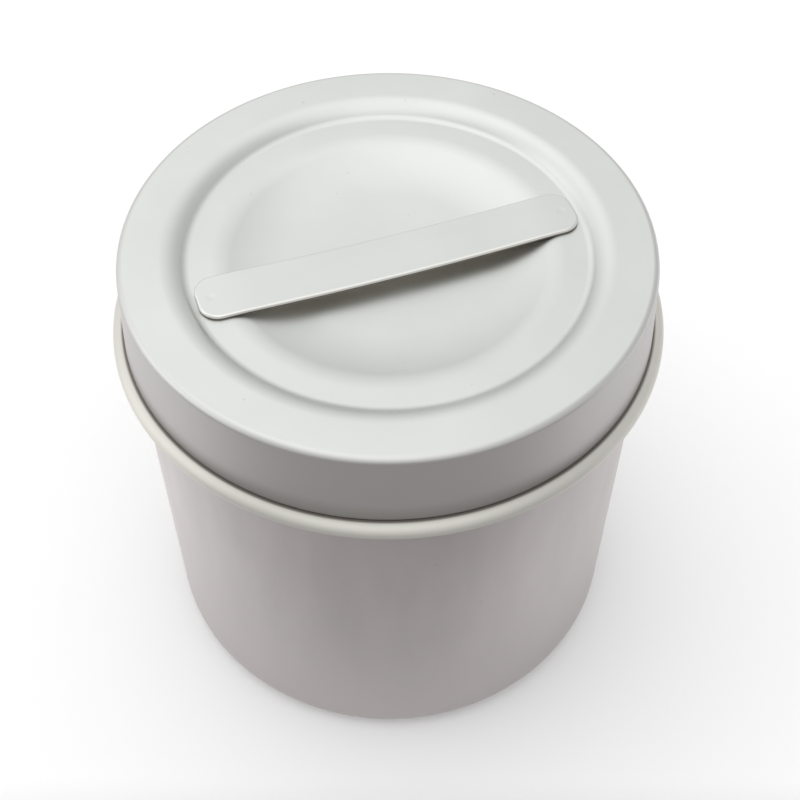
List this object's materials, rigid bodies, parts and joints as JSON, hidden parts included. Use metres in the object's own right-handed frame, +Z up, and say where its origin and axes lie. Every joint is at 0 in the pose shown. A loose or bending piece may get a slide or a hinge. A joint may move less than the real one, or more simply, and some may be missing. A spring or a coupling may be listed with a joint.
{
  "type": "dressing jar",
  "caption": "Round stainless steel dressing jar: drawn body with a neck and a swaged bead, and a lift-off cover with a dished recess bridged by a flat strap handle.",
  "frame": {"origin": "centre of the face that the jar stands on", "axes": "+Z up along the axis of the jar, +X along the strap handle, +Y across the strap"},
  "size_m": [0.115, 0.115, 0.1084],
  "materials": {
    "jar_steel": "satin",
    "cover_steel": "satin",
    "strap_steel": "satin"
  },
  "bodies": {
    "jar": {"jar_body": "jar_steel"},
    "lid": {"cover": "cover_steel", "strap_handle": "strap_steel"}
  },
  "joints": [
    {"name": "lid_lift", "type": "slide", "parent": "jar", "child": "lid", "axis": [0, 0, 1], "range_m": [0, 0.12]}
  ]
}
